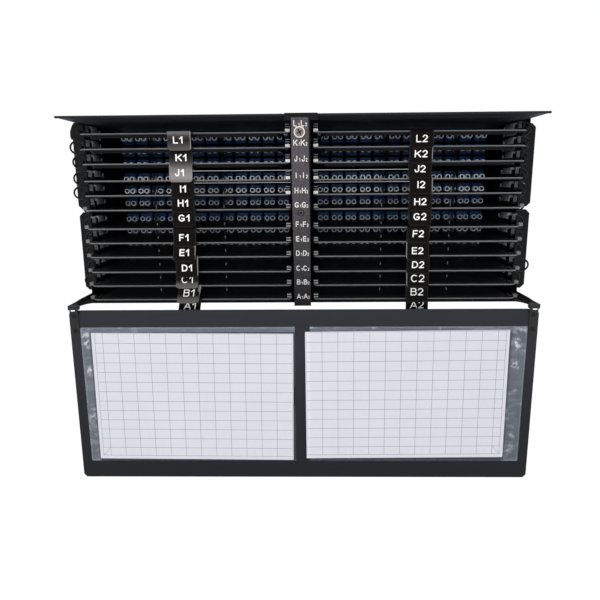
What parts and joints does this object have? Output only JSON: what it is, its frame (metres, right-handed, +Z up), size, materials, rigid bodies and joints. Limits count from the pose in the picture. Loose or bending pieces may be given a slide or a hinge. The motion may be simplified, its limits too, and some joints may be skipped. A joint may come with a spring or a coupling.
{
  "type": "rack fibre splice enclosure",
  "caption": "Rack-mount fibre splice enclosure with sliding trays of duplex adapters on both sides of a slanted index bar, and a drop-down door with card pockets.",
  "frame": {"origin": "centre of the rack slots, on the front face of the mounting ears", "axes": "+X to the right seen from the front, +Y into the rack, +Z up"},
  "size_m": [0.4826, 0.3991, 0.3474],
  "materials": {
    "black_paint": "fine satin powder coat",
    "door_paint": "fine satin powder coat, a little lighter",
    "black_plastic": "moulded, satin",
    "blue_plastic": "moulded adapter body",
    "nickel_plate": "plated magnet ring",
    "clear_film": "clear soft film, a little wrinkled",
    "white_card": "white printed card"
  },
  "bodies": {
    "enclosure": {"chassis_shell": "black_paint", "top_cover": "black_paint", "mounting_ears": "black_paint", "centre_divider": "black_paint", "side_guides": "black_plastic", "index_bar": "black_paint", "catch_magnet": "nickel_plate", "hinge_arms": "black_paint"},
    "door": {"door_panel": "door_paint", "hinge_leaves": "black_paint", "document_pockets": "clear_film", "chart_sheets": "white_card"},
    "splice_tray_A1": {"tray_A1": "black_plastic", "adapters_A1": "blue_plastic"},
    "splice_tray_A2": {"tray_A2": "black_plastic", "adapters_A2": "blue_plastic"},
    "splice_tray_B1": {"tray_B1": "black_plastic", "adapters_B1": "blue_plastic"},
    "splice_tray_B2": {"tray_B2": "black_plastic", "adapters_B2": "blue_plastic"},
    "splice_tray_C1": {"tray_C1": "black_plastic", "adapters_C1": "blue_plastic"},
    "splice_tray_C2": {"tray_C2": "black_plastic", "adapters_C2": "blue_plastic"},
    "splice_tray_D1": {"tray_D1": "black_plastic", "adapters_D1": "blue_plastic"},
    "splice_tray_D2": {"tray_D2": "black_plastic", "adapters_D2": "blue_plastic"},
    "splice_tray_E1": {"tray_E1": "black_plastic", "adapters_E1": "blue_plastic"},
    "splice_tray_E2": {"tray_E2": "black_plastic", "adapters_E2": "blue_plastic"},
    "splice_tray_F1": {"tray_F1": "black_plastic", "adapters_F1": "blue_plastic"},
    "splice_tray_F2": {"tray_F2": "black_plastic", "adapters_F2": "blue_plastic"},
    "splice_tray_G1": {"tray_G1": "black_plastic", "adapters_G1": "blue_plastic"},
    "splice_tray_G2": {"tray_G2": "black_plastic", "adapters_G2": "blue_plastic"},
    "splice_tray_H1": {"tray_H1": "black_plastic", "adapters_H1": "blue_plastic"},
    "splice_tray_H2": {"tray_H2": "black_plastic", "adapters_H2": "blue_plastic"},
    "splice_tray_I1": {"tray_I1": "black_plastic", "adapters_I1": "blue_plastic"},
    "splice_tray_I2": {"tray_I2": "black_plastic", "adapters_I2": "blue_plastic"},
    "splice_tray_J1": {"tray_J1": "black_plastic", "adapters_J1": "blue_plastic"},
    "splice_tray_J2": {"tray_J2": "black_plastic", "adapters_J2": "blue_plastic"},
    "splice_tray_K1": {"tray_K1": "black_plastic", "adapters_K1": "blue_plastic"},
    "splice_tray_K2": {"tray_K2": "black_plastic", "adapters_K2": "blue_plastic"},
    "splice_tray_L1": {"tray_L1": "black_plastic", "adapters_L1": "blue_plastic"},
    "splice_tray_L2": {"tray_L2": "black_plastic", "adapters_L2": "blue_plastic"}
  },
  "joints": [
    {"name": "door_hinge", "type": "hinge", "parent": "enclosure", "child": "door", "pos_m": [0, -0.0945, -0.0855], "axis": [1, 0, 0], "range_deg": [-180, 0]},
    {"name": "tray_A1_slide", "type": "slide", "parent": "enclosure", "child": "splice_tray_A1", "axis": [0, -1, 0], "range_m": [0, 0.11]},
    {"name": "tray_A2_slide", "type": "slide", "parent": "enclosure", "child": "splice_tray_A2", "axis": [0, -1, 0], "range_m": [0, 0.11]},
    {"name": "tray_B1_slide", "type": "slide", "parent": "enclosure", "child": "splice_tray_B1", "axis": [0, -1, 0], "range_m": [0, 0.11]},
    {"name": "tray_B2_slide", "type": "slide", "parent": "enclosure", "child": "splice_tray_B2", "axis": [0, -1, 0], "range_m": [0, 0.11]},
    {"name": "tray_C1_slide", "type": "slide", "parent": "enclosure", "child": "splice_tray_C1", "axis": [0, -1, 0], "range_m": [0, 0.11]},
    {"name": "tray_C2_slide", "type": "slide", "parent": "enclosure", "child": "splice_tray_C2", "axis": [0, -1, 0], "range_m": [0, 0.11]},
    {"name": "tray_D1_slide", "type": "slide", "parent": "enclosure", "child": "splice_tray_D1", "axis": [0, -1, 0], "range_m": [0, 0.11]},
    {"name": "tray_D2_slide", "type": "slide", "parent": "enclosure", "child": "splice_tray_D2", "axis": [0, -1, 0], "range_m": [0, 0.11]},
    {"name": "tray_E1_slide", "type": "slide", "parent": "enclosure", "child": "splice_tray_E1", "axis": [0, -1, 0], "range_m": [0, 0.11]},
    {"name": "tray_E2_slide", "type": "slide", "parent": "enclosure", "child": "splice_tray_E2", "axis": [0, -1, 0], "range_m": [0, 0.11]},
    {"name": "tray_F1_slide", "type": "slide", "parent": "enclosure", "child": "splice_tray_F1", "axis": [0, -1, 0], "range_m": [0, 0.11]},
    {"name": "tray_F2_slide", "type": "slide", "parent": "enclosure", "child": "splice_tray_F2", "axis": [0, -1, 0], "range_m": [0, 0.11]},
    {"name": "tray_G1_slide", "type": "slide", "parent": "enclosure", "child": "splice_tray_G1", "axis": [0, -1, 0], "range_m": [0, 0.11]},
    {"name": "tray_G2_slide", "type": "slide", "parent": "enclosure", "child": "splice_tray_G2", "axis": [0, -1, 0], "range_m": [0, 0.11]},
    {"name": "tray_H1_slide", "type": "slide", "parent": "enclosure", "child": "splice_tray_H1", "axis": [0, -1, 0], "range_m": [0, 0.11]},
    {"name": "tray_H2_slide", "type": "slide", "parent": "enclosure", "child": "splice_tray_H2", "axis": [0, -1, 0], "range_m": [0, 0.11]},
    {"name": "tray_I1_slide", "type": "slide", "parent": "enclosure", "child": "splice_tray_I1", "axis": [0, -1, 0], "range_m": [0, 0.11]},
    {"name": "tray_I2_slide", "type": "slide", "parent": "enclosure", "child": "splice_tray_I2", "axis": [0, -1, 0], "range_m": [0, 0.11]},
    {"name": "tray_J1_slide", "type": "slide", "parent": "enclosure", "child": "splice_tray_J1", "axis": [0, -1, 0], "range_m": [0, 0.11]},
    {"name": "tray_J2_slide", "type": "slide", "parent": "enclosure", "child": "splice_tray_J2", "axis": [0, -1, 0], "range_m": [0, 0.11]},
    {"name": "tray_K1_slide", "type": "slide", "parent": "enclosure", "child": "splice_tray_K1", "axis": [0, -1, 0], "range_m": [0, 0.11]},
    {"name": "tray_K2_slide", "type": "slide", "parent": "enclosure", "child": "splice_tray_K2", "axis": [0, -1, 0], "range_m": [0, 0.11]},
    {"name": "tray_L1_slide", "type": "slide", "parent": "enclosure", "child": "splice_tray_L1", "axis": [0, -1, 0], "range_m": [0, 0.11]},
    {"name": "tray_L2_slide", "type": "slide", "parent": "enclosure", "child": "splice_tray_L2", "axis": [0, -1, 0], "range_m": [0, 0.11]}
  ]
}
